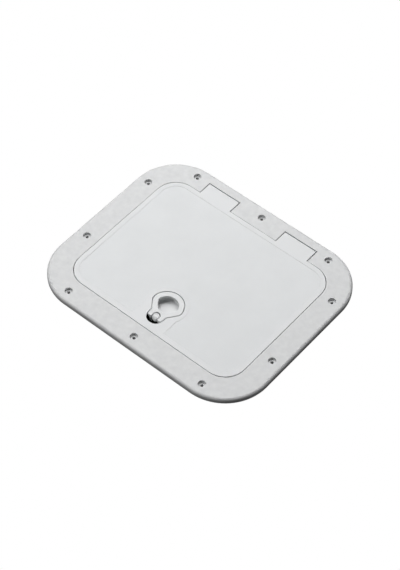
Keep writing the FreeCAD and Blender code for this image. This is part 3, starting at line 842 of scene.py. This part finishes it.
@dataclass
class Latch:
    """The flush lift handle, its housing, its bolt and all that holds them."""

    housing_screws: int = 4
    cover_screws: int = 4
    housing_screw_size: tuple[float, float, float] = (3.0, 8.0, 1.35)
    cover_screw_size: tuple[float, float, float] = (2.4, 8.0, 1.05)
    spring: BoltSpring = field(default_factory=BoltSpring)

    def build(self) -> None:
        """Dress the latch's mouldings and build its spring and screws."""
        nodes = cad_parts
        plastic = LATCH_SHELL.material()
        for name in ("latch_handle", "bolt_cover"):
            dress(nodes[name], plastic)
        dress(nodes["latch_housing"], HOUSING_SHELL.material())
        dress(nodes["latch_bolt"], BOLT_SHELL.material())
        dress(nodes["handle_pin"], PIN_STEEL.material())
        self.spring.build()
        steel = SCREW_STEEL.material()
        for number in range(1, self.housing_screws + 1):
            PanScrew("housing_screw_%d" % number, *self.housing_screw_size).build(steel)
        for number in range(1, self.cover_screws + 1):
            PanScrew("cover_screw_%d" % number, *self.cover_screw_size).build(steel)
        log.info("latch dressed, with %d screws", self.housing_screws + self.cover_screws)


@dataclass(frozen=True)
class SoftLight:
    """A square soft light that faces the hatch."""

    name: str
    place: tuple[float, float, float]
    size: float
    power: float

    def hang(self, scene: bpy.types.Scene) -> None:
        """Hang the light at its place, turned to the origin.

        Args:
            scene: The scene that gets the light.
        """
        data = bpy.data.lights.new(self.name, "AREA")
        data.shape = "SQUARE"
        data.size = self.size
        data.energy = self.power
        away = np.array(self.place) / np.linalg.norm(self.place)
        level = np.cross((0.0, 0.0, 1.0), away)
        level /= np.linalg.norm(level)
        axes = np.stack([level, np.cross(away, level), away], axis=1)
        light = bpy.data.objects.new(self.name, data)
        light.matrix_world = Matrix.Translation(self.place) @ Matrix(axes.tolist()).to_4x4()
        scene.collection.objects.link(light)


@dataclass
class Studio:
    """White floor, black card of painted shadow, soft lights from behind and the left, and the camera."""

    floor_half: float = 20.0
    floor_gap: float = 0.0003
    shadow_card_outer: tuple[float, float, float] = (359.0, 297.0, 65.0)
    shadow_card_inner: tuple[float, float, float] = (290.4, 227.0, 28.5)
    shadow_card_level: float = -0.3
    camera_place: tuple[float, float, float] = (0.952114, -1.15624, 1.908227)
    camera_right: tuple[float, float, float] = (0.764936, 0.644044, 0.008903)
    camera_up: tuple[float, float, float] = (-0.51226, 0.59992, 0.614562)
    camera_back: tuple[float, float, float] = (0.390464, -0.474661, 0.788819)
    lens: float = 109.0526
    sensor: float = 36.0
    sight: float = 50.0
    ambient: float = 0.0765
    soft_lights: tuple[SoftLight, ...] = (SoftLight("key", (-1.061, 0.284, 2.356), 1.12, 24.9),
                                          SoftLight("behind", (-1.253, 1.548, 1.671), 1.12, 18.4),
                                          SoftLight("back", (-1.042, 5.909, 10.392), 4.08, 322.6),
                                          SoftLight("left", (-7.53, -6.319, 6.883), 4.08, 276.5))

    def build(self) -> None:
        """Set the view, the camera, the floor, the card and the lights."""
        scene = bpy.context.scene
        scene.view_settings.view_transform = "Standard"
        scene.view_settings.look = "None"
        self.camera(scene)
        self.floor()
        self.shadow_card()
        self.lights(scene)
        log.info("studio built")

    def camera(self, scene: bpy.types.Scene) -> None:
        """Set the camera at the photograph's viewpoint.

        Args:
            scene: The scene that gets the camera.
        """
        data = bpy.data.cameras.new("camera")
        data.lens = self.lens
        data.sensor_width = self.sensor
        data.clip_end = self.sight
        camera = bpy.data.objects.new("camera", data)
        axes = Matrix((self.camera_right, self.camera_up, self.camera_back)).transposed().to_4x4()
        camera.matrix_world = Matrix.Translation(self.camera_place) @ axes
        scene.collection.objects.link(camera)
        scene.camera = camera

    def floor(self) -> None:
        """Lay the floor just under the collar, so bright that it shows no shadow."""
        material = bpy.data.materials.new("floor_white")
        material.use_nodes = True
        shader = material.node_tree.nodes["Principled BSDF"]
        shader.inputs["Base Color"].default_value = linear("#000000")
        shader.inputs["Specular IOR Level"].default_value = 0.0
        shader.inputs["Emission Color"].default_value = linear("#FFFFFF")
        shader.inputs["Emission Strength"].default_value = 1.0
        low = CAD_BOX[0][2] - self.floor_gap
        reach = self.floor_half
        corners = np.array([[-reach, -reach, low], [reach, -reach, low], [reach, reach, low], [-reach, reach, low]])
        floor = make_piece("floor", corners / MM, np.array([[0, 1, 2, 3]]))
        dress(floor, material)
        floor.visible_diffuse = False
        floor.visible_glossy = False

    def shadow_card(self) -> None:
        """Lay a black card close under the flange as painted shadow, so that the screw holes look down on the shade
        under the hatch.

        The card is a flat ring between two rounded rectangles with as many points each.
        """
        # Painted shadow: a near-black card stands for the shade under the hatch, seen through the screw holes.
        material = bpy.data.materials.new("shadow_card_black")
        material.use_nodes = True
        shader = material.node_tree.nodes["Principled BSDF"]
        shader.inputs["Base Color"].default_value = linear("#0A0A0A")
        shader.inputs["Roughness"].default_value = 0.9
        flat = np.array([[0.0, self.shadow_card_level]])
        outlines = [RoundedPath(*size).sweep(flat)[0] for size in (self.shadow_card_outer, self.shadow_card_inner)]
        points = np.stack(outlines, axis=1).reshape(-1, 3)
        shadow_card = make_piece("shadow_card", points, grid_faces(len(outlines[0]), 2, wrap_rows=True))
        dress(shadow_card, material)

    def lights(self, scene: bpy.types.Scene) -> None:
        """Hang the soft lights in an even, dim surround.

        Args:
            scene: The scene that gets the lights.
        """
        world = bpy.data.worlds.new("studio")
        world.use_nodes = True
        world.node_tree.nodes["Background"].inputs["Color"].default_value = linear("#FFFFFF")
        world.node_tree.nodes["Background"].inputs["Strength"].default_value = self.ambient
        scene.world = world
        for light in self.soft_lights:
            light.hang(scene)


def main() -> None:
    """Build the classes in order."""
    logging.basicConfig(level=logging.INFO, format="%(name)s: %(message)s")
    for part in (Studio(), FlangeFrame(), HatchLid(), Latch()):
        part.build()
    bpy.context.view_layer.update()


if __name__ == "__main__":
    main()
